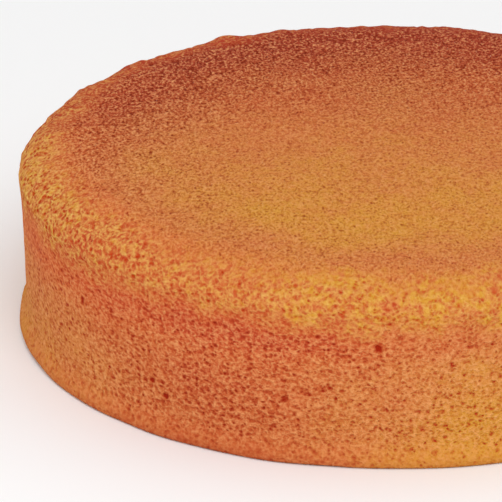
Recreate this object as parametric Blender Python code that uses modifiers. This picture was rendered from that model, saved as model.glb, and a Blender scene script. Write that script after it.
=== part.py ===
"""Round yellow cake, one uncut layer as it was turned out of its tin.

The cake stands on Z = 0 with its axis on Z. It is one solid: a low crown, a broad rounded
shoulder, a wall that draws in to a waist and a foot that flares where the crust was thickest.
The lumps, the crags on the rim and the wavy foot are relief in that solid.
"""

import itertools
import math

import bpy
import numpy as np

# Driving dimensions, in metres
TIN_RADIUS = 0.1016
TIN_DEPTH = 0.0508
SHRINKAGE = 0.0015

# The crown is a shallow dome that ends where the shoulder starts
HEIGHT = TIN_DEPTH + 0.0005
CROWN_RADIUS = 0.80 * TIN_RADIUS
CROWN_DROP = 0.0007

# The shoulder is a quarter of a superellipse between the crown and the wall
SHOULDER_RADIUS = TIN_RADIUS - 0.0024
SHOULDER_HEIGHT = HEIGHT - 0.0087
SHOULDER_EXPONENT = 1.83

# The wall leans out from its waist, swells under the shoulder and flares at the foot
WAIST_RADIUS = TIN_RADIUS - 0.0037
WAIST_HEIGHT = 0.009
WALL_LEAN = 0.028
FLARE_RISE = 0.0036
SWELL_SPAN = 0.006

# The foot is the widest place, rounded down to an underside that is flat inside its rim
FOOT_RADIUS = TIN_RADIUS - SHRINKAGE
FOOT_ROUNDING = 0.0009
FLAT_RADIUS = 0.094

# Relief: size of the lumps, how far they stand proud, and the seed of their random heights
LUMPS = ((0.030, 0.00050, 11), (0.012, 0.00026, 12))
RELIEF_STARTS = 0.0045
FOOT_WAVE_SIZE = 0.017
FOOT_WAVE = 0.00045
FOOT_WAVE_TOP = 0.007
FOOT_WAVE_SEED = 13
EDGE_LIFT = 0.0008
EDGE_LIFT_SEED = 14
LATTICE_SIDE = 32

# Crags are crumbs that stuck up along the rim: (angle in degrees, radius, width, height) of the
# two large ones at the back, then the ranges that the small ones are drawn from
LARGE_CRAGS = ((118, 0.0945, 0.0042, 0.0011), (137, 0.0950, 0.0055, 0.0010))
CRAG_COUNT = 13
CRAG_RADII = (0.088, 0.097)
CRAG_WIDTHS = (0.0035, 0.0060)
CRAG_HEIGHTS = (0.0003, 0.0007)
CRAG_SEED = 21

# How finely the solid is cut
STEPS_ROUND = 132
CROWN_STEPS = 8
SHOULDER_STEPS = 8
WALL_STEPS = 11
FOOT_STEPS = 3
WALL_STEP_GRADING = 1.3
SHARP_ANGLE = math.radians(50)

CRUST_COLOUR = (0.63, 0.22, 0.055, 1.0)
CRUST_ROUGHNESS = 0.78


def clear_scene():
    for obj in list(bpy.data.objects):
        bpy.data.objects.remove(obj, do_unlink=True)


def crust_material():
    material = bpy.data.materials.new("baked_crust")
    material.use_nodes = True
    shader = material.node_tree.nodes["Principled BSDF"]
    shader.inputs["Base Color"].default_value = CRUST_COLOUR
    shader.inputs["Roughness"].default_value = CRUST_ROUGHNESS
    shader.inputs["Metallic"].default_value = 0.0
    material.diffuse_color = CRUST_COLOUR
    return material


def crown_height(radius):
    """Height of the crown, which falls with the square of the distance from the axis."""
    return HEIGHT - CROWN_DROP * (radius / CROWN_RADIUS) ** 2


def lean_radius(height):
    """Radius of the plain leaning wall."""
    return WAIST_RADIUS + WALL_LEAN * (height - WAIST_HEIGHT)


def wall_radius(height):
    """The leaning wall, with a swell that reaches the shoulder's radius and a flare to the foot's."""
    swell = SHOULDER_RADIUS - lean_radius(SHOULDER_HEIGHT)
    flare = FOOT_RADIUS - lean_radius(FOOT_ROUNDING)
    return (
        lean_radius(height)
        + swell * math.exp(-(((SHOULDER_HEIGHT - height) / SWELL_SPAN) ** 2))
        + flare * math.exp(-(((height - FOOT_ROUNDING) / FLARE_RISE) ** 2))
    )


def shoulder_point(turn):
    """Superellipse from the crown's edge at turn 0 to the top of the wall at a quarter turn."""
    power = 2.0 / SHOULDER_EXPONENT
    edge_height = crown_height(CROWN_RADIUS)
    across = math.sin(turn) ** power
    down = 1.0 - max(math.cos(turn), 0.0) ** power
    radius = CROWN_RADIUS + (SHOULDER_RADIUS - CROWN_RADIUS) * across
    return radius, edge_height - (edge_height - SHOULDER_HEIGHT) * down


def foot_point(turn):
    """Quarter circle under the foot, from its widest place to the underside."""
    radius = FOOT_RADIUS - FOOT_ROUNDING * (1.0 - math.cos(turn))
    return radius, FOOT_ROUNDING * (1.0 - math.sin(turn))


def half_profile():
    """The outline of one side as (radius, height), from the top's middle to the underside's."""
    points = []
    for step in range(CROWN_STEPS):
        radius = CROWN_RADIUS * step / CROWN_STEPS
        points.append((radius, crown_height(radius)))
    for step in range(SHOULDER_STEPS):
        points.append(shoulder_point(0.5 * math.pi * step / SHOULDER_STEPS))
    for step in range(WALL_STEPS):
        # The steps close up towards the foot, where the flare bends most
        share = (1.0 - step / WALL_STEPS) ** WALL_STEP_GRADING
        height = FOOT_ROUNDING + (SHOULDER_HEIGHT - FOOT_ROUNDING) * share
        points.append((wall_radius(height), height))
    for step in range(FOOT_STEPS + 1):
        points.append(foot_point(0.5 * math.pi * step / FOOT_STEPS))
    points += [(FLAT_RADIUS, 0.0), (0.5 * FLAT_RADIUS, 0.0), (0.0, 0.0)]
    return points


def turned_cake():
    """A wire of the half profile, turned round Z by a Screw modifier and made a plain mesh."""
    points = half_profile()
    mesh = bpy.data.meshes.new("half_profile")
    verts = [(radius, 0.0, height) for radius, height in points]
    edges = [(i, i + 1) for i in range(len(points) - 1)]
    mesh.from_pydata(verts, edges, [])
    cake = bpy.data.objects.new("cake", mesh)
    screw = cake.modifiers.new("turned", "SCREW")
    screw.axis = "Z"
    screw.angle = 2.0 * math.pi
    screw.steps = STEPS_ROUND
    screw.render_steps = STEPS_ROUND
    screw.use_merge_vertices = True
    screw.merge_threshold = 0.00001
    return cake


def lattice_heights(points, cell, seed):
    """Random heights from -1 to 1 on a cubic lattice, blended smoothly between its corners."""
    heights = np.random.default_rng(seed).uniform(-1.0, 1.0, (LATTICE_SIDE,) * 3)
    place = points / cell + LATTICE_SIDE / 2
    corner = np.floor(place).astype(int)
    share = place - corner
    share = share * share * (3.0 - 2.0 * share)
    total = np.zeros(len(points))
    for offset in itertools.product((0, 1), repeat=3):
        weight = np.where(offset, share, 1.0 - share).prod(axis=1)
        index = (corner + offset) % LATTICE_SIDE
        total += weight * heights[index[:, 0], index[:, 1], index[:, 2]]
    return total


def crags():
    """(angle, radius, width, height) of each crag: the large ones, then some drawn round the rim."""
    draw = np.random.default_rng(CRAG_SEED)
    found = list(LARGE_CRAGS)
    for number in range(CRAG_COUNT):
        angle = 360.0 * (number + draw.uniform(0.1, 0.9)) / CRAG_COUNT
        radius = draw.uniform(*CRAG_RADII)
        found.append((angle, radius, draw.uniform(*CRAG_WIDTHS), draw.uniform(*CRAG_HEIGHTS)))
    return found


def crag_height(points):
    """Each crag is a round hump on the shoulder that fades out over its width."""
    total = np.zeros(len(points))
    on_top = points[:, 2] > SHOULDER_HEIGHT
    for angle, radius, width, height in crags():
        turn = math.radians(angle)
        middle = radius * np.array([math.cos(turn), math.sin(turn)])
        away = np.linalg.norm(points[:, :2] - middle, axis=1) / width
        total += on_top * height * np.exp(-(away**2))
    return total


def roughen(mesh):
    """Moves each vertex along its normal by the relief, then waves the foot. The flat stays flat."""
    count = len(mesh.vertices)
    points = np.empty(count * 3)
    normals = np.empty(count * 3)
    mesh.vertices.foreach_get("co", points)
    mesh.vertex_normals.foreach_get("vector", normals)
    points = points.reshape(-1, 3)
    normals = normals.reshape(-1, 3)

    radius = np.linalg.norm(points[:, :2], axis=1)
    outward = points[:, :2] / np.maximum(radius, 1e-9)[:, None]
    rim_line = np.column_stack([outward * FOOT_RADIUS, np.zeros(count)])

    relief = crag_height(points)
    for cell, amount, seed in LUMPS:
        relief += amount * lattice_heights(points, cell, seed)
    relief *= np.clip(points[:, 2] / RELIEF_STARTS, 0.0, 1.0)

    near_foot = np.clip(1.0 - points[:, 2] / FOOT_WAVE_TOP, 0.0, 1.0) * (radius > FLAT_RADIUS + 1e-5)
    wave = FOOT_WAVE * near_foot * lattice_heights(rim_line, FOOT_WAVE_SIZE, FOOT_WAVE_SEED)
    lift = lattice_heights(rim_line, FOOT_WAVE_SIZE, EDGE_LIFT_SEED)
    lift = EDGE_LIFT * near_foot * np.clip(lift, 0.0, 1.0)

    points += normals * relief[:, None]
    points[:, :2] += outward * wave[:, None]
    points[:, 2] += lift
    middle = 0.5 * (points.min(axis=0) + points.max(axis=0))
    points[:, :2] -= middle[:2]
    mesh.vertices.foreach_set("co", points.ravel())
    mesh.update()


def build_cake(collection):
    cake = turned_cake()
    collection.objects.link(cake)
    graph = bpy.context.evaluated_depsgraph_get()
    profile = cake.data
    cake.data = bpy.data.meshes.new_from_object(cake.evaluated_get(graph))
    cake.data.name = "cake"
    cake.modifiers.clear()
    bpy.data.meshes.remove(profile)
    roughen(cake.data)
    cake.data.shade_smooth()
    cake.data.set_sharp_from_angle(angle=SHARP_ANGLE)
    cake.data.materials.clear()
    cake.data.materials.append(crust_material())
    return cake


def main():
    clear_scene()
    collection = bpy.data.collections.new("yellow_cake")
    bpy.context.scene.collection.children.link(collection)
    build_cake(collection)


main()
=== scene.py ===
"""The looks of a round, uncut yellow cake, for Blender 4.5.

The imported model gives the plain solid. This script puts the baked crust in its place: one closed
surface with the same form, and the pores, open crumb and browning that the real one has.
"""

import itertools
import math

import bpy
import numpy as np
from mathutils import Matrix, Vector


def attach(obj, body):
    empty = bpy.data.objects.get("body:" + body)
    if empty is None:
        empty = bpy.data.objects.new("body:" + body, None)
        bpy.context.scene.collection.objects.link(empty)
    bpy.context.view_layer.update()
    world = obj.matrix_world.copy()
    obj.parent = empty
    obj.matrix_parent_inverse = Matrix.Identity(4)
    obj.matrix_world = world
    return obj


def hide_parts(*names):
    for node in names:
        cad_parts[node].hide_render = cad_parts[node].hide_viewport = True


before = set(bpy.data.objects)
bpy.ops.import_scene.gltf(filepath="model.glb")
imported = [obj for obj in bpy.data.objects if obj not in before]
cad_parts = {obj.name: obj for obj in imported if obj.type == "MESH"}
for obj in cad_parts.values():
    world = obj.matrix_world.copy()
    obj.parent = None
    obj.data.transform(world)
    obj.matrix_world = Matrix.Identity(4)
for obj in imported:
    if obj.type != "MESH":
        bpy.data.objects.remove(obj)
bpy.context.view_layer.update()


# The cake: one layer of butter sponge, 8 inches across before it shrank, turned out and set on its
# base. A thin golden skin covers the crown and the wall. It stuck and tore along the shoulder, where
# the open yellow crumb shows. The mesh is a disc for the crown and one turned strip for the rest.
FULL_RADIUS = 0.1016
HEIGHT = 0.0513
CROWN_RADIUS = 0.80 * FULL_RADIUS
CROWN_DROP = 0.0007
SHOULDER_RADIUS = FULL_RADIUS - 0.0024
SHOULDER_HEIGHT = HEIGHT - 0.0087
SHOULDER_EXPONENT = 1.83
WAIST_RADIUS = FULL_RADIUS - 0.0037
WAIST_HEIGHT = 0.009
WALL_LEAN = 0.028
FLARE_RISE = 0.0036
SWELL_SPAN = 0.006
FOOT_RADIUS = FULL_RADIUS - 0.0015
FOOT_ROUNDING = 0.0009
FLAT_RADIUS = 0.094

# How finely each part of the surface is cut
CROWN_CELLS = 176
SHOULDER_ROWS = 24
WALL_ROWS = 44
FOOT_ROWS = 3
FLAT_RINGS = (FLAT_RADIUS, 0.075, 0.050, 0.025, 0.006)


def crown_height(radius):
    """Height of the crown: it falls with the square of the distance from the axis."""
    return HEIGHT - CROWN_DROP * (radius / CROWN_RADIUS) ** 2


def wall_radius(height):
    """A leaning line, plus a bell-shaped swell under the shoulder and a bell-shaped flare at the foot."""
    def leaning(level):
        return WAIST_RADIUS + WALL_LEAN * (level - WAIST_HEIGHT)

    swell = SHOULDER_RADIUS - leaning(SHOULDER_HEIGHT)
    flare = FOOT_RADIUS - leaning(FOOT_ROUNDING)
    return (
        leaning(height)
        + swell * np.exp(-(((SHOULDER_HEIGHT - height) / SWELL_SPAN) ** 2))
        + flare * np.exp(-(((height - FOOT_ROUNDING) / FLARE_RISE) ** 2))
    )


def side_profile():
    """Radius and height of each row from the crown's edge to the underside: a quarter of a
    superellipse for the shoulder, the leaning wall, and a quarter circle under the foot."""
    turn = np.linspace(0.0, 0.5 * np.pi, SHOULDER_ROWS, endpoint=False)
    power = 2.0 / SHOULDER_EXPONENT
    edge = crown_height(CROWN_RADIUS)
    shoulder_r = CROWN_RADIUS + (SHOULDER_RADIUS - CROWN_RADIUS) * np.sin(turn) ** power
    shoulder_z = edge - (edge - SHOULDER_HEIGHT) * (1.0 - np.cos(turn) ** power)
    wall_z = np.linspace(SHOULDER_HEIGHT, FOOT_ROUNDING, WALL_ROWS, endpoint=False)
    turn = np.linspace(0.0, 0.5 * np.pi, FOOT_ROWS + 1)
    foot_r = FOOT_RADIUS - FOOT_ROUNDING * (1.0 - np.cos(turn))
    foot_z = FOOT_ROUNDING * (1.0 - np.sin(turn))
    radius = np.concatenate([shoulder_r, wall_radius(wall_z), foot_r, FLAT_RINGS])
    height = np.concatenate([shoulder_z, wall_z, foot_z, np.zeros(len(FLAT_RINGS))])
    return radius, height


def crown_grid():
    """A square grid bent into a disc: each square ring of cells becomes a circle, with its points
    evenly spaced, so that no cell is a sliver. Returns points, quads and the rim's point numbers."""
    side = np.linspace(-1.0, 1.0, CROWN_CELLS + 1)
    across, along = np.meshgrid(side, side, indexing="ij")
    sideways = np.abs(across) > np.abs(along)
    reach = np.where(sideways, across, along)
    share = np.divide(np.where(sideways, along, across), reach, out=np.zeros_like(reach), where=reach != 0)
    turn = np.where(sideways, 0.25 * np.pi * share, 0.5 * np.pi - 0.25 * np.pi * share)
    x = CROWN_RADIUS * reach * np.cos(turn)
    y = CROWN_RADIUS * reach * np.sin(turn)
    points = np.column_stack([x.ravel(), y.ravel(), crown_height(np.hypot(x, y)).ravel()])
    number = np.arange(points.shape[0]).reshape(across.shape)
    quads = np.stack([number[:-1, :-1], number[1:, :-1], number[1:, 1:], number[:-1, 1:]], axis=-1)
    rim = np.concatenate([number[-1, :-1], number[::-1, -1][:-1], number[0, ::-1][:-1], number[:-1, 0]])
    return points, quads.reshape(-1, 4), rim


def turned_strip(rim_turn, first):
    """The side profile at every angle of the rim. Its row 0 is the crown's own rim and is left out."""
    radius, height = side_profile()
    x = np.outer(radius[1:], np.cos(rim_turn))
    y = np.outer(radius[1:], np.sin(rim_turn))
    z = np.repeat(height[1:, None], len(rim_turn), axis=1)
    points = np.stack([x, y, z], axis=-1).reshape(-1, 3)
    number = first + np.arange(len(points)).reshape(x.shape)
    return points, number


def quads_between(upper, lower):
    """Quads that join two closed rows of point numbers, facing outwards."""
    next_upper = np.roll(upper, -1, axis=-1)
    next_lower = np.roll(lower, -1, axis=-1)
    return np.stack([upper, lower, next_lower, next_upper], axis=-1).reshape(-1, 4)


crown_points, crown_quads, rim = crown_grid()
rim_turn = np.arctan2(crown_points[rim, 1], crown_points[rim, 0])
strip_points, strip_number = turned_strip(rim_turn, len(crown_points))
strip_number = np.vstack([rim, strip_number])
pole = len(crown_points) + len(strip_points)
points = np.vstack([crown_points, strip_points, [[0.0, 0.0, 0.0]]])
last_ring = strip_number[-1]
quads = np.vstack([crown_quads, quads_between(strip_number[:-1], strip_number[1:])])
fan = np.column_stack([last_ring, np.full(len(rim), pole), np.roll(last_ring, -1)])


# Its relief: broad lumps, small crumbs where the skin tore, crags along the rim and a wavy foot.
# Lumps and crumbs are (size, how far they stand proud, seed)
LUMPS = ((0.030, 0.00050, 11), (0.012, 0.00026, 12))
CRUMBS = ((0.0042, 0.00018, 31), (0.0021, 0.00020, 32))
SKIN_ROUGHNESS = 0.30
BACK_ROUGHNESS = 0.90
BACK_HALF = (-0.010, 0.060)
RELIEF_STARTS = 0.0045
FOOT_WAVE_SIZE = 0.017
FOOT_WAVE = 0.00045
FOOT_WAVE_TOP = 0.007
FOOT_WAVE_SEED = 13
FLAT_MARGIN = 0.00001
EDGE_LIFT = 0.0008
EDGE_LIFT_SEED = 14
LATTICE_SIDE = 32

# Crags are (angle in degrees, radius, width, height): the two large ones at the back, a notch
# near them, and the ranges that the small ones are drawn from
LARGE_CRAGS = ((118, 0.0945, 0.0042, 0.0011), (137, 0.0950, 0.0055, 0.0010))
RIM_NOTCH = (115.7, 0.0940, 0.0014, -0.0009)
CRAG_COUNT = 13
CRAG_SCATTER = (0.1, 0.9)
CRAG_RADII = (0.088, 0.097)
CRAG_WIDTHS = (0.0035, 0.0060)
CRAG_HEIGHTS = (0.0003, 0.0007)
CRAG_SEED = 21
CRAG_FADE = 0.002


def lattice_heights(points, cell, seed):
    """Random heights from -1 to 1 on a cubic lattice, blended smoothly between its corners."""
    heights = np.random.default_rng(seed).uniform(-1.0, 1.0, (LATTICE_SIDE,) * 3)
    place = points / cell + LATTICE_SIDE / 2
    corner = np.floor(place).astype(int)
    share = place - corner
    share = share * share * (3.0 - 2.0 * share)
    total = np.zeros(len(points))
    for offset in itertools.product((0, 1), repeat=3):
        weight = np.where(offset, share, 1.0 - share).prod(axis=1)
        index = (corner + offset) % LATTICE_SIDE
        total += weight * heights[index[:, 0], index[:, 1], index[:, 2]]
    return total


def bell(value, middle, width):
    """1 at the middle, falling to about a third at one width from it."""
    return np.exp(-(((value - middle) / width) ** 2))


def step_up(value, low, high):
    """0 below low, 1 above high, and a smooth rise between."""
    share = np.clip((value - low) / (high - low), 0.0, 1.0)
    return share * share * (3.0 - 2.0 * share)


def crags():
    """(angle, radius, width, height) of each crag: the large ones, then some drawn round the rim."""
    draw = np.random.default_rng(CRAG_SEED)
    found = list(LARGE_CRAGS)
    for number in range(CRAG_COUNT):
        angle = 360.0 * (number + draw.uniform(*CRAG_SCATTER)) / CRAG_COUNT
        radius = draw.uniform(*CRAG_RADII)
        found.append((angle, radius, draw.uniform(*CRAG_WIDTHS), draw.uniform(*CRAG_HEIGHTS)))
    return found


def crag_height(points):
    """Each crag is a round hump on the shoulder that fades out over its width, and a notch a dent."""
    total = np.zeros(len(points))
    on_top = step_up(points[:, 2], SHOULDER_HEIGHT - CRAG_FADE, SHOULDER_HEIGHT)
    for angle, radius, width, height in crags() + [RIM_NOTCH]:
        turn = math.radians(angle)
        middle = radius * np.array([math.cos(turn), math.sin(turn)])
        away = np.linalg.norm(points[:, :2] - middle, axis=1) / width
        total += on_top * height * np.exp(-(away**2))
    return total


def surface_normals(points, quads):
    """Unit normals at the points: the sum of the crossed diagonals of the quads round each one."""
    cross = np.cross(points[quads[:, 2]] - points[quads[:, 0]], points[quads[:, 3]] - points[quads[:, 1]])
    total = np.zeros_like(points)
    for corner in range(4):
        for axis in range(3):
            total[:, axis] += np.bincount(quads[:, corner], cross[:, axis], len(points))
    length = np.linalg.norm(total, axis=1)
    length[length == 0.0] = 1.0
    return total / length[:, None]


# Where each point is: its distance from the axis, the side it faces in degrees, and its height
normals = surface_normals(points, quads)
radius = np.hypot(points[:, 0], points[:, 1])
outward = points[:, :2] / np.where(radius > 0.0, radius, 1.0)[:, None]
facing = np.degrees(np.arctan2(points[:, 1], points[:, 0])) % 360.0
height = points[:, 2]

# How far the skin has torn off: 1 on the shoulder, 0 on the crown and the wall. Its edge is
# ragged, and the skin of the crown reaches further out at the front
RAGGED = ((0.014, 0.0032, 51), (0.006, 0.0030, 52), (0.0028, 0.0016, 53))
CROWN_SKIN_ENDS = (0.082, 0.095)
WALL_SKIN_ENDS = (0.034, 0.044)
FRONT_SKIN_REACH = 0.0022
FRONT_SIDE = (258, 30)


def toward(facing, side, width):
    """1 where the cake faces that side, falling to about a third at width degrees from it."""
    away = (facing - side + 180.0) % 360.0 - 180.0
    return np.exp(-((away / width) ** 2))


ragged = sum(amount * lattice_heights(points, cell, seed) for cell, amount, seed in RAGGED)
skin_radius = radius + ragged - FRONT_SKIN_REACH * toward(facing, *FRONT_SIDE)
on_crown = 1.0 - step_up(skin_radius, *CROWN_SKIN_ENDS)
on_wall = 1.0 - step_up(height + ragged, *WALL_SKIN_ENDS)
torn = (1.0 - on_crown) * (1.0 - on_wall)

relief = crag_height(points)
for cell, amount, seed in LUMPS:
    relief += amount * lattice_heights(points, cell, seed)
crumbs = sum(amount * lattice_heights(points, cell, seed) for cell, amount, seed in CRUMBS)
to_the_back = step_up(points[:, 1], *BACK_HALF)
relief += crumbs * (SKIN_ROUGHNESS + (1.0 - SKIN_ROUGHNESS + BACK_ROUGHNESS * to_the_back) * torn)
relief *= np.clip(height / RELIEF_STARTS, 0.0, 1.0)

rim_line = np.column_stack([outward * FOOT_RADIUS, np.zeros(len(points))])
near_foot = np.clip(1.0 - height / FOOT_WAVE_TOP, 0.0, 1.0) * (radius > FLAT_RADIUS + FLAT_MARGIN)
wave = FOOT_WAVE * near_foot * lattice_heights(rim_line, FOOT_WAVE_SIZE, FOOT_WAVE_SEED)
lift = np.clip(lattice_heights(rim_line, FOOT_WAVE_SIZE, EDGE_LIFT_SEED), 0.0, 1.0)

shaped = points + normals * relief[:, None]
shaped[:, :2] += outward * wave[:, None]
shaped[:, 2] += EDGE_LIFT * near_foot * lift

crust = bpy.data.meshes.new("cake_crust")
crust.from_pydata(shaped.tolist(), [], quads.tolist() + fan.tolist())
crust.shade_smooth()
crust.update()

# How the oven browned it, from 0 for yellow crumb to above 1 for red-brown skin. The crown is
# browner in a ring near its edge and towards its back. A side is (direction, width),
# both in degrees, and each of the brown sides also has how much browner it is
CROWN_BROWNING = 0.44
BROWNER_PER_METRE = 4.8
BACK_BROWNING_SPAN = (-0.055, 0.085)
RING_BROWNING = 0.27
BROWN_RING = (0.0815, 0.0110)
CRUMB_BROWNING = 0.34
CRUMB_BACK_BROWNING = 0.72
CRUMB_SIDES = 0.60
CRUMB_GOLD = 0.20
GOLDEN_SIDE = (258, 20)
WALL_BROWNING = 0.38
BROWN_SIDES = ((240, 34, 0.46), (75, 45, 0.36), (298, 20, -0.32), (268, 14, -0.12))
BROWN_BAND = (0.0348, 0.0050)
BAND_BROWNING = 0.27
BAND_SIDE_BROWNING = 0.20
BAND_SIDE = (238, 36)
FOOT_PALENESS = 0.13
PALE_FOOT = (0.010, 0.022)
UNDERSIDE_BROWNING = 0.35
UNDERSIDE_ENDS = (0.090, 0.096)
MOTTLES = ((0.016, 0.07, 41), (0.007, 0.08, 42))

# Patches that stand out: (angle, radius, height, width, how much browner). The first are on the
# shoulder, and the last three are the crown's paler front, its paler back and its browner left
PATCHES = (
    (226, 0.0988, 0.0375, 0.0045, -0.27),
    (240, 0.0993, 0.0380, 0.0040, -0.20),
    (265, 0.0990, 0.0385, 0.0035, -0.08),
    (215, 0.0970, 0.0461, 0.0030, 0.70),
    (211, 0.0988, 0.0420, 0.0040, 0.30),
    (261, 0.0990, 0.0415, 0.0042, 0.44),
    (269, 0.0979, 0.0452, 0.0022, 0.50),
    (281, 0.0985, 0.0425, 0.0048, 0.22),
    (286, 0.0950, 0.0472, 0.0055, 0.16),
    (200, 0.0935, 0.0480, 0.0070, -0.14),
    (131, 0.0940, 0.0485, 0.0140, -0.22),
    (242, 0.0400, 0.0512, 0.0200, -0.10),
    (90, 0.0320, 0.0512, 0.0140, -0.12),
    (150, 0.0400, 0.0512, 0.0200, 0.10),
)


def spot(angle, reach, level):
    """A point given by its angle in degrees, its distance from the axis and its height."""
    turn = math.radians(angle)
    return reach * math.cos(turn), reach * math.sin(turn), level


brown_sides = sum(amount * toward(facing, *side) for *side, amount in BROWN_SIDES)
crown_tone = CROWN_BROWNING + BROWNER_PER_METRE * np.clip(points[:, 1], *BACK_BROWNING_SPAN)
crown_tone += RING_BROWNING * bell(radius, *BROWN_RING)
crumb_tone = CRUMB_BROWNING + CRUMB_SIDES * brown_sides + CRUMB_BACK_BROWNING * to_the_back
crumb_tone -= CRUMB_GOLD * toward(facing, *GOLDEN_SIDE)
band = BAND_BROWNING + BAND_SIDE_BROWNING * toward(facing, *BAND_SIDE)
wall_tone = WALL_BROWNING + brown_sides + band * bell(height, *BROWN_BAND)
wall_tone -= FOOT_PALENESS * (1.0 - step_up(height, *PALE_FOOT))
wall_tone += UNDERSIDE_BROWNING * (1.0 - step_up(radius, *UNDERSIDE_ENDS))
browning = on_wall * wall_tone + (1.0 - on_wall) * (on_crown * crown_tone + (1.0 - on_crown) * crumb_tone)
for cell, amount, seed in MOTTLES:
    browning += amount * lattice_heights(points, cell, seed)
for angle, reach, level, width, amount in PATCHES:
    away = np.linalg.norm(points - spot(angle, reach, level), axis=1)
    browning += amount * bell(away, 0.0, width)

# Darkening of the skin: towards the back of the crown, in a ring on its left, low on the wall's
# front left, and at the very rim of the foot, where it is painted shade under the foot's rounding.
# It leaves a paler stretch of rim at the back left. Bands are (amount, where it starts, where it is
# full), counted from the middle to the back
DARKER_BANDS = ((0.13, 0.000, 0.050), (0.15, 0.042, 0.066))
RING_DARKENING = 0.15
DARKER_RING = (0.073, 0.016)
DARKER_RING_SIDE = (155, 28)
LESS_DARKENED = 0.85
PALER_RIM = (126, 22)
LOW_WALL_DARKENING = 0.09
DARKER_LOW_WALL_SIDE = (243, 16)
DARKER_LOW_WALL = (0.014, 0.032)
BROWNING_WHERE_DARKER = 0.70
FOOT_RIM_PAINTED_SHADE = 0.13
FOOT_RIM_HEIGHTS = (0.0002, 0.0032)
FOOT_RIM_RADII = (0.096, 0.099)

darkening_and_painted_shade = RING_DARKENING * bell(radius, *DARKER_RING) * toward(facing, *DARKER_RING_SIDE)
darkening_and_painted_shade += sum(amount * step_up(points[:, 1], *span) for amount, *span in DARKER_BANDS)
darkening_and_painted_shade *= (1.0 - on_wall) * (1.0 - LESS_DARKENED * (1.0 - on_crown) * toward(facing, *PALER_RIM))
darkening_and_painted_shade += LOW_WALL_DARKENING * toward(facing, *DARKER_LOW_WALL_SIDE) * (1.0 - step_up(height, *DARKER_LOW_WALL))
browning += BROWNING_WHERE_DARKER * darkening_and_painted_shade
# Painted shade: the very rim of the foot, whose rounding faces down, is painted darker
foot_rim_painted_shade = (1.0 - step_up(height, *FOOT_RIM_HEIGHTS)) * step_up(radius, *FOOT_RIM_RADII)
darkening_and_painted_shade += FOOT_RIM_PAINTED_SHADE * foot_rim_painted_shade

# Partly a redder crust and partly painted light: the left of the shoulder and the upper wall are
# painted lighter and redder where the lamp leaves them dim, less so in the crumb
PAINTED_LIGHT_AND_REDNESS = 0.40
PAINTED_LIGHT_SIDE = (205, 42)
PAINTED_LIGHT_RADII = (0.079, 0.088)
PAINTED_LIGHT_HEIGHTS = (0.020, 0.034)
LESS_PAINTED_LIGHT_IN_CRUMB = 0.75

painted_light_and_redness = PAINTED_LIGHT_AND_REDNESS * toward(facing, *PAINTED_LIGHT_SIDE)
painted_light_and_redness *= step_up(radius, *PAINTED_LIGHT_RADII) * step_up(height, *PAINTED_LIGHT_HEIGHTS)
painted_light_and_redness *= 1.0 - LESS_PAINTED_LIGHT_IN_CRUMB * torn

# How gritty each part looks. The crown is smoothest in its middle and front, and its back and left
# are rougher. The wall is smeared in a band under the shoulder and smooth along its foot
GRIT_ON_CROWN = 0.58
GRIT_AT_BACK = 0.60
BACK_GRIT_SPAN = (0.000, 0.075)
GRIT_AT_LEFT = 0.42
LEFT_SIDE = (168, 45)
LEFT_GRIT_RADII = (0.035, 0.075)
GRIT_ON_CRUMB = 0.86
CRUMB_GRIT_AT_LEFT = 0.65
CRUMBLY_SIDE = (185, 35)
GRIT_ON_WALL = 1.00
WALL_GRIT_AT_LEFT = -0.15
SMOOTHER_SIDE = (198, 28)
SMEAR = 0.20
SMEARED_BAND = (0.038, 0.005)
FOOT_SMOOTHNESS = 0.50
SMOOTH_FOOT = (0.001, 0.008)

crown_grit = GRIT_ON_CROWN + GRIT_AT_BACK * step_up(points[:, 1], *BACK_GRIT_SPAN)
crown_grit += GRIT_AT_LEFT * toward(facing, *LEFT_SIDE) * step_up(radius, *LEFT_GRIT_RADII)
crumb_grit = GRIT_ON_CRUMB + CRUMB_GRIT_AT_LEFT * toward(facing, *CRUMBLY_SIDE)
wall_grit = GRIT_ON_WALL + WALL_GRIT_AT_LEFT * toward(facing, *SMOOTHER_SIDE)
grit = on_crown * crown_grit + torn * crumb_grit + (1.0 - on_crown - torn) * wall_grit
grit *= 1.0 - SMEAR * bell(height, *SMEARED_BAND)
grit *= 1.0 - FOOT_SMOOTHNESS * (1.0 - step_up(height, *SMOOTH_FOOT))

fields = {"browning": browning, "darkening_and_painted_shade": darkening_and_painted_shade, "painted_light_and_redness": painted_light_and_redness, "grit": grit, "torn": torn,
          "on_crown": on_crown}
for name, values in fields.items():
    crust.attributes.new(name, "FLOAT", "POINT").data.foreach_set("value", values.astype(np.float32))

cake = bpy.data.objects.new("cake_crust", crust)
bpy.context.scene.collection.objects.link(cake)

# The colours of the crust by browning, and of the painted light and of the darkening and painted
# shade over it, as display bytes. Crumbs are pale, and dark grain and the painted shade in the
# pores are dark, each in its own colour for every kind of crust
BAKED_COLOURS = (
    (0.00, (207, 145, 50)),
    (0.20, (205, 133, 54)),
    (0.40, (203, 121, 59)),
    (0.60, (200, 108, 57)),
    (0.80, (197, 95, 50)),
    (1.05, (191, 80, 45)),
    (1.30, (181, 66, 40)),
)
# The painted light's colour, lighter and redder than the crust
PAINTED_LIGHT_COLOUR = (220, 100, 52)
# The darkening colour, also used as painted shade at the rim of the foot
DARKENING_AND_SHADE_COLOUR = (130, 53, 39)
PALE_SKIN = (241, 169, 108)
PALE_CRUMB = (234, 184, 98)
PALE_IN_DARKENING_AND_SHADE = (216, 116, 90)
PORE_IN_PALE_SKIN = (178, 40, 16)
PORE_IN_BROWN_SKIN = (150, 34, 8)
PORE_IN_CROWN = (142, 42, 4)
PORE_IN_CRUMB = (186, 52, 4)
PORE_IN_DARKENING_AND_SHADE = (92, 28, 14)


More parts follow.
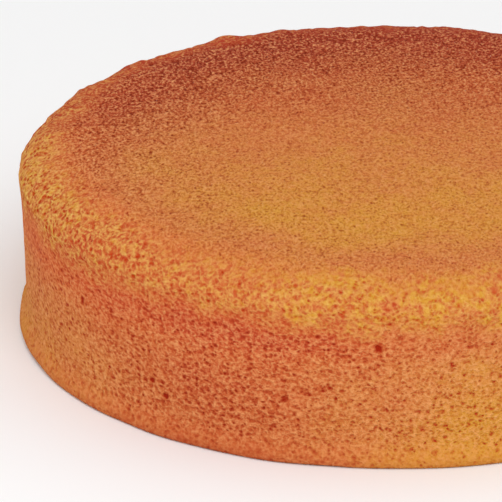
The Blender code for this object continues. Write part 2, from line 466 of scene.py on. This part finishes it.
def daylight(colour):
    """The linear value of a colour given as three bytes on the usual display curve."""
    share = np.array(colour) / 255.0
    linear = np.where(share <= 0.04045, share / 12.92, ((share + 0.055) / 1.055) ** 2.4)
    return (*linear.tolist(), 1.0)


def put(tree, kind, inputs=None, **settings):
    """Adds a shader node, sets its properties, then sets or links each input that is named."""
    made = tree.nodes.new("ShaderNode" + kind)
    for name, value in settings.items():
        setattr(made, name, value)
    for name, value in (inputs or {}).items():
        if isinstance(value, bpy.types.NodeSocket):
            tree.links.new(value, made.inputs[name])
        else:
            made.inputs[name].default_value = value
    return made


def calc(tree, operation, *values, clamp=False):
    """The output of a Math node."""
    return put(tree, "Math", dict(enumerate(values)), operation=operation, use_clamp=clamp).outputs[0]


def stained(tree, share, under, over):
    """The colour under, mixed towards the colour over by that share. The Mix node keeps its colours
    in inputs 6 and 7 and in output 2."""
    return put(tree, "Mix", {0: share, 6: under, 7: over}, data_type="RGBA").outputs[2]


# Pores differ in width: from this share of the width they are given to 1 more than that share
NARROWEST_PORE = 0.5


def pore_group():
    """Round holes strewn through space: a share of the cells have a hole, of a size drawn for it."""
    tree = bpy.data.node_groups.new("open_pores", "ShaderNodeTree")
    for name, kind in (("Place", "NodeSocketVector"), ("Spacing", "NodeSocketFloat"),
                       ("Width", "NodeSocketFloat"), ("Share", "NodeSocketFloat")):
        tree.interface.new_socket(name, in_out="INPUT", socket_type=kind)
    tree.interface.new_socket("Hole", in_out="OUTPUT", socket_type="NodeSocketFloat")
    given = tree.nodes.new("NodeGroupInput").outputs
    scale = calc(tree, "DIVIDE", 1.0, given["Spacing"])
    cells = put(tree, "TexVoronoi", {"Vector": given["Place"], "Scale": scale}, feature="F1")
    drawn = put(tree, "SeparateColor", {"Color": cells.outputs["Color"]})
    wider = calc(tree, "ADD", drawn.outputs["Red"], NARROWEST_PORE)
    reach = calc(tree, "MULTIPLY", given["Width"], wider)
    hole = put(tree, "MapRange", {"Value": cells.outputs["Distance"], "From Min": reach, "From Max": 0.0},
               interpolation_type="SMOOTHSTEP")
    chosen = calc(tree, "LESS_THAN", drawn.outputs["Green"], given["Share"])
    result = tree.nodes.new("NodeGroupOutput")
    tree.links.new(calc(tree, "MULTIPLY", hole.outputs["Result"], chosen), result.inputs["Hole"])
    return tree


# Pores: (spacing in metres, width as a share of the spacing, share of cells with a pore, depth)
CROWN_PORES = ((0.0011, 0.55, 0.70, 0.55),)
WALL_PORES = ((0.0010, 0.55, 0.85, 0.40), (0.0015, 0.54, 0.92, 0.66), (0.0036, 0.26, 0.35, 0.22))
# Grain: (size in metres, strength, level about which it swings)
CROWN_GRAIN = (0.0007, 3.2, 0.14)
WALL_GRAIN = (0.0010, 2.0, 0.26)
GRAIN_DETAIL = 1.7
GRAIN_ROUGHNESS = 0.62
# The crown's skin is drawn out from front to back, and the wall's pores lie a little flat
CROWN_STRETCH = (1.0, 1 / 1.8, 1.0)
WALL_STRETCH = (1.0, 0.7, 1.15)
# No pore is quite round: the crust is stirred by up to this far, in swirls of about this size
PORE_WANDER = 0.0005
WANDER_SIZE = 0.003
WANDER_DETAIL = 2.0
# The few large pits that stand out on the front wall, with painted shade inside them: (angle in
# degrees, height, width, depth)
WALL_PITS = (
    (267.5, 0.0338, 0.0023, 1.6),
    (253.2, 0.0175, 0.0020, 1.2),
    (230.2, 0.0145, 0.0018, 1.5),
    (232.8, 0.0115, 0.0018, 1.5),
    (214.2, 0.0286, 0.0018, 1.2),
)
PIT_REACH = 0.75

material = bpy.data.materials.new("baked_crust")
material.use_nodes = True
tree = material.node_tree
shader = tree.nodes["Principled BSDF"]
pores = pore_group()

place = put(tree, "TexCoord").outputs["Object"]
stir = put(tree, "TexNoise", {"Vector": place, "Scale": 1 / WANDER_SIZE, "Detail": WANDER_DETAIL})
stir = put(tree, "VectorMath", {0: stir.outputs["Color"], 1: (0.5, 0.5, 0.5)}, operation="SUBTRACT")
stir = put(tree, "VectorMath", {0: stir.outputs[0], "Scale": 2 * PORE_WANDER}, operation="SCALE")
moved = put(tree, "VectorMath", {0: place, 1: stir.outputs[0]}, operation="ADD").outputs[0]


def drawn_out(stretch):
    """The stirred place, scaled along each axis."""
    return put(tree, "VectorMath", {0: moved, 1: stretch}, operation="MULTIPLY").outputs[0]


def cloud(where, size, detail, roughness):
    """Smooth random values about 0, from a Noise node with features of that size in metres."""
    settings = {"Vector": where, "Scale": 1 / size, "Detail": detail, "Roughness": roughness}
    return calc(tree, "SUBTRACT", put(tree, "TexNoise", settings).outputs["Fac"], 0.5)


def field(name):
    """One of the fields stored with the mesh."""
    return put(tree, "Attribute", attribute_name=name).outputs["Fac"]


def grain_with_pores(where, grain, pore_sizes):
    """A grain about its level, less the depth of each size of pore."""
    size, strength, level = grain
    total = calc(tree, "MULTIPLY_ADD", cloud(where, size, GRAIN_DETAIL, GRAIN_ROUGHNESS), strength, level)
    for spacing, width, share, depth in pore_sizes:
        inputs = {"Place": where, "Spacing": spacing, "Width": width, "Share": share}
        hole = put(tree, "Group", inputs, node_tree=pores).outputs["Hole"]
        total = calc(tree, "MULTIPLY_ADD", hole, -depth, total)
    return total


def with_pits(total):
    """Less the depth of each large pit on the front wall, a soft round hole about its middle."""
    for angle, level, width, depth in WALL_PITS:
        middle = spot(angle, wall_radius(level), level)
        away = put(tree, "VectorMath", {0: moved, 1: middle}, operation="DISTANCE").outputs["Value"]
        pit = put(tree, "MapRange", {"Value": away, "From Min": PIT_REACH * width, "From Max": 0.0},
                  interpolation_type="SMOOTHSTEP").outputs["Result"]
        total = calc(tree, "MULTIPLY_ADD", pit, -depth, total)
    return total


# Grit: pale crumbs where it is above 0, and below it dark grain and the painted shade of the pores
# and pits. The darkening and painted shade lower it
DARKENING_AND_SHADE_ON_GRIT = -0.36
PORE_DARKNESS = 1.4

wall_place = drawn_out(WALL_STRETCH)
grit_of_wall = with_pits(grain_with_pores(wall_place, WALL_GRAIN, WALL_PORES))
grit_of_crown = grain_with_pores(drawn_out(CROWN_STRETCH), CROWN_GRAIN, CROWN_PORES)
gritty = put(tree, "Mix", {0: field("on_crown"), 2: grit_of_wall, 3: grit_of_crown}).outputs[0]
gritty = calc(tree, "MULTIPLY", gritty, field("grit"))
darkening_and_shade_here = field("darkening_and_painted_shade")
gritty = calc(tree, "MULTIPLY_ADD", darkening_and_shade_here, DARKENING_AND_SHADE_ON_GRIT, gritty)
pale = calc(tree, "MULTIPLY", gritty, 1.0, clamp=True)
dark_grain_and_pore_shade = calc(tree, "MULTIPLY", gritty, -PORE_DARKNESS, clamp=True)

# Tone: the browning of the skin, redder in the dark grain and the pores' painted shade, blotched, and
# most blotched in the crumb
BLOTCH_SIZE = 0.0022
BLOTCH_DETAIL = 2.0
BLOTCH_ROUGHNESS = 0.6
BLOTCHED = 0.45
MORE_BLOTCHED_CRUMB = 1.7
PORE_BROWNING = 0.14

torn_here = field("torn")
blotching = calc(tree, "MULTIPLY_ADD", torn_here, MORE_BLOTCHED_CRUMB, BLOTCHED)
blotches = cloud(wall_place, BLOTCH_SIZE, BLOTCH_DETAIL, BLOTCH_ROUGHNESS)
tone = calc(tree, "ADD", field("browning"), calc(tree, "MULTIPLY", blotches, blotching))
tone = calc(tree, "MULTIPLY_ADD", dark_grain_and_pore_shade, PORE_BROWNING, tone)
brownest = BAKED_COLOURS[-1][0]
ramp = put(tree, "ValToRGB", {"Fac": calc(tree, "DIVIDE", tone, brownest)})
stops = ramp.color_ramp.elements
while len(stops) < len(BAKED_COLOURS):
    stops.new(0.5)
for stop, (position, baked) in zip(stops, BAKED_COLOURS):
    stop.position = position / brownest
    stop.color = daylight(baked)

# The stains go on in this order: the painted light and the darkening and painted shade over the
# baked colour, then the dark grain and the pores' painted shade, then the crumbs. The pores and
# crumbs are stained first by where they are, and last by the darkening and painted shade
pale_colour = stained(tree, torn_here, daylight(PALE_SKIN), daylight(PALE_CRUMB))
pale_colour = stained(tree, darkening_and_shade_here, pale_colour, daylight(PALE_IN_DARKENING_AND_SHADE))
# Painted shade in the pores and pits, with the dark grain: its colour by where it is
dark_grain_and_pore_shade_colour = stained(tree, field("browning"), daylight(PORE_IN_PALE_SKIN), daylight(PORE_IN_BROWN_SKIN))
dark_grain_and_pore_shade_colour = stained(tree, field("on_crown"), dark_grain_and_pore_shade_colour, daylight(PORE_IN_CROWN))
dark_grain_and_pore_shade_colour = stained(tree, torn_here, dark_grain_and_pore_shade_colour, daylight(PORE_IN_CRUMB))
dark_grain_and_pore_shade_colour = stained(tree, darkening_and_shade_here, dark_grain_and_pore_shade_colour, daylight(PORE_IN_DARKENING_AND_SHADE))
# Painted light, lighter and redder, on the left of the shoulder and the upper wall
colour = stained(tree, field("painted_light_and_redness"), ramp.outputs["Color"], daylight(PAINTED_LIGHT_COLOUR))
# Darkening, and painted shade at the rim of the foot
colour = stained(tree, darkening_and_shade_here, colour, daylight(DARKENING_AND_SHADE_COLOUR))
# Dark grain and painted shade in the pores and pits
colour = stained(tree, dark_grain_and_pore_shade, colour, dark_grain_and_pore_shade_colour)
colour = stained(tree, pale, colour, pale_colour)
tree.links.new(colour, shader.inputs["Base Color"])

# The grit and the pores also catch the light, so they are raised and sunk. The crust is matte
GRIT_HEIGHT = 0.0008
GRIT_RELIEF = 0.58
ROUGHNESS = 0.82
GLOSS = 0.05

bump = put(tree, "Bump", {"Height": gritty, "Distance": GRIT_HEIGHT, "Strength": GRIT_RELIEF})
tree.links.new(bump.outputs["Normal"], shader.inputs["Normal"])
shader.inputs["Roughness"].default_value = ROUGHNESS
shader.inputs["Specular IOR Level"].default_value = GLOSS
crust.materials.append(material)

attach(cake, "root")
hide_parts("cake")


# The floor: a plain pale studio floor of matte paint, a hair under the cake, and so wide that its
# edge stays out of every view
FLOOR_REACH = 6.0
FLOOR_LEVEL = -0.0001
FLOOR_COLOUR = (0.93, 0.93, 0.93, 1.0)
FLOOR_ROUGHNESS = 0.9
FLOOR_CORNERS = ((-1, -1), (1, -1), (1, 1), (-1, 1))

floor_mesh = bpy.data.meshes.new("floor")
corners = [(x * FLOOR_REACH, y * FLOOR_REACH, FLOOR_LEVEL) for x, y in FLOOR_CORNERS]
floor_mesh.from_pydata(corners, [], [(0, 1, 2, 3)])
floor = bpy.data.objects.new("floor", floor_mesh)
bpy.context.scene.collection.objects.link(floor)
floor_paint = bpy.data.materials.new("pale_floor")
floor_paint.use_nodes = True
floor_shader = floor_paint.node_tree.nodes["Principled BSDF"]
floor_shader.inputs["Base Color"].default_value = FLOOR_COLOUR
floor_shader.inputs["Roughness"].default_value = FLOOR_ROUGHNESS
floor_mesh.materials.append(floor_paint)

# The light: a white room, and one large soft lamp in front of the cake and above it, a little to
# the right
ROOM_COLOUR = (1.0, 1.0, 1.0, 1.0)
ROOM_BRIGHTNESS = 0.82
LAMP_PLACE = Vector((0.05, -0.90, 0.95))
LAMP_AIM = Vector((0.0, 0.0, 0.03))
LAMP_SIZE = 0.9
LAMP_POWER = 6.0

world = bpy.data.worlds.new("white_room")
world.use_nodes = True
room = world.node_tree.nodes["Background"]
room.inputs["Color"].default_value = ROOM_COLOUR
room.inputs["Strength"].default_value = ROOM_BRIGHTNESS
bpy.context.scene.world = world

lamp_data = bpy.data.lights.new("soft_lamp", "AREA")
lamp_data.shape = "DISK"
lamp_data.size = LAMP_SIZE
lamp_data.energy = LAMP_POWER
lamp = bpy.data.objects.new("soft_lamp", lamp_data)
lamp.location = LAMP_PLACE
lamp.rotation_euler = (LAMP_AIM - LAMP_PLACE).to_track_quat("-Z", "Y").to_euler()
bpy.context.scene.collection.objects.link(lamp)

# The camera: a long lens, 23 degrees above the level of the floor. It looks a little left of the
# cake's middle, so that the right side runs out of the picture
ELEVATION = math.radians(22.9)
DISTANCE = 1.98
LENS = 524.0
SENSOR = 36.0
CLIP = (0.05, 50.0)
AIM = Vector((-0.0372, 0.0069, 0.0163))

camera_data = bpy.data.cameras.new("camera")
camera_data.sensor_width = SENSOR
camera_data.lens = LENS
camera_data.clip_start, camera_data.clip_end = CLIP
camera = bpy.data.objects.new("camera", camera_data)
camera.location = AIM + DISTANCE * Vector((0.0, -math.cos(ELEVATION), math.sin(ELEVATION)))
camera.rotation_euler = (0.5 * math.pi - ELEVATION, 0.0, 0.0)
bpy.context.scene.collection.objects.link(camera)
bpy.context.scene.camera = camera
bpy.context.scene.view_settings.view_transform = "Standard"
